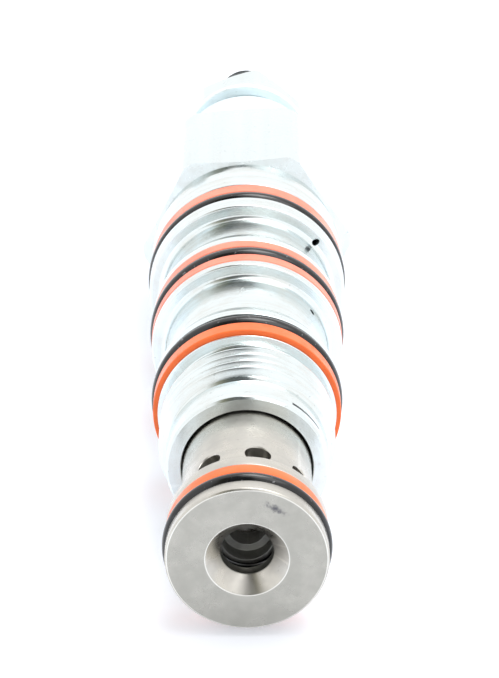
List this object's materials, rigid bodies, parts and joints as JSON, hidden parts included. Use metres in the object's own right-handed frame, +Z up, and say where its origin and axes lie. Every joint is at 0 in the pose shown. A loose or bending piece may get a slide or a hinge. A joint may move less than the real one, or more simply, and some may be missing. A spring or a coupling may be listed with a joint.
{
  "type": "cartridge valve",
  "caption": "Long screw-in hydraulic cartridge valve: ported nose sleeve, cavity thread, stepped seal lands with waists at the ports, wrench hexagon and locked screw adjuster.",
  "frame": {"origin": "on the valve axis, in the plane of the shoulder just behind the cavity thread", "axes": "+Y along the valve axis from the nose towards the adjuster, +Z up with one wrench flat turned 4 degrees from it"},
  "size_m": [0.0268, 0.1263, 0.0248],
  "materials": {
    "zinc_plate": "bright blue-white zinc plate on turned and milled steel, semi-gloss",
    "satin_steel": "hardened steel, satin, finely turned",
    "ground_steel": "hardened and ground steel",
    "spring_steel": "drawn spring steel, oiled",
    "black_oxide": "black oxide on steel, oiled",
    "nitrile": "black nitrile rubber, moulded, slight gloss",
    "backup_plastic": "bright orange seal plastic, satin"
  },
  "bodies": {
    "cartridge": {"nose_sleeve": "satin_steel", "nose_o_ring": "nitrile", "nose_backup_ring": "backup_plastic", "sleeve_retaining_ring": "spring_steel", "valve_body": "zinc_plate", "thread_seal_backup_ring": "backup_plastic", "thread_seal_o_ring": "nitrile", "mid_seal_front_backup_ring": "backup_plastic", "mid_seal_o_ring": "nitrile", "mid_seal_rear_backup_ring": "backup_plastic", "top_seal_o_ring": "nitrile", "top_seal_backup_ring": "backup_plastic", "check_spring": "spring_steel", "guide_bush": "satin_steel", "guide_bush_front_o_ring": "nitrile", "guide_bush_rear_o_ring": "nitrile", "guide_bush_retaining_ring": "spring_steel", "main_spring": "spring_steel", "adjuster_bush": "zinc_plate", "adjuster_bush_o_ring": "nitrile"},
    "check": {"check_seat": "ground_steel"},
    "piston": {"relief_piston": "ground_steel", "piston_seal_ring": "nitrile", "lower_spring_seat": "ground_steel"},
    "spring_adjuster": {"upper_spring_seat": "ground_steel"},
    "screw": {"adjusting_screw": "black_oxide", "adjusting_screw_o_ring": "nitrile"},
    "washer": {"lock_washer": "zinc_plate"},
    "nut": {"lock_nut": "zinc_plate"}
  },
  "joints": [
    {"name": "check_lift", "type": "slide", "parent": "cartridge", "child": "check", "axis": [0, -1, 0], "range_m": [0, 0.0012], "stiffness_N_per_m": 150, "deforming": ["check_spring"]},
    {"name": "relief_lift", "type": "slide", "parent": "cartridge", "child": "piston", "axis": [0, 1, 0], "range_m": [0, 0.0015], "stiffness_N_per_m": 1500, "deforming": ["main_spring"]},
    {"name": "adjust_travel", "type": "slide", "parent": "cartridge", "child": "spring_adjuster", "axis": [0, 1, 0], "range_m": [-0.005, 0], "deforming": ["main_spring"]},
    {"name": "adjust_turn", "type": "hinge", "parent": "spring_adjuster", "child": "screw", "pos_m": [0, 0.069, 0], "axis": [0, 1, 0], "range_deg": [-1800, 0]},
    {"name": "lock_nut_travel", "type": "slide", "parent": "cartridge", "child": "washer", "axis": [0, 1, 0], "range_m": [0, 0.002]},
    {"name": "lock_nut_turn", "type": "hinge", "parent": "washer", "child": "nut", "pos_m": [0, 0.0824, 0], "axis": [0, 1, 0], "range_deg": [0, 720]}
  ],
  "couplings": [
    {"joint": "adjust_turn", "follows": "adjust_travel", "rad_per_m": 6283.2},
    {"joint": "lock_nut_turn", "follows": "lock_nut_travel", "rad_per_m": 6283.2}
  ]
}
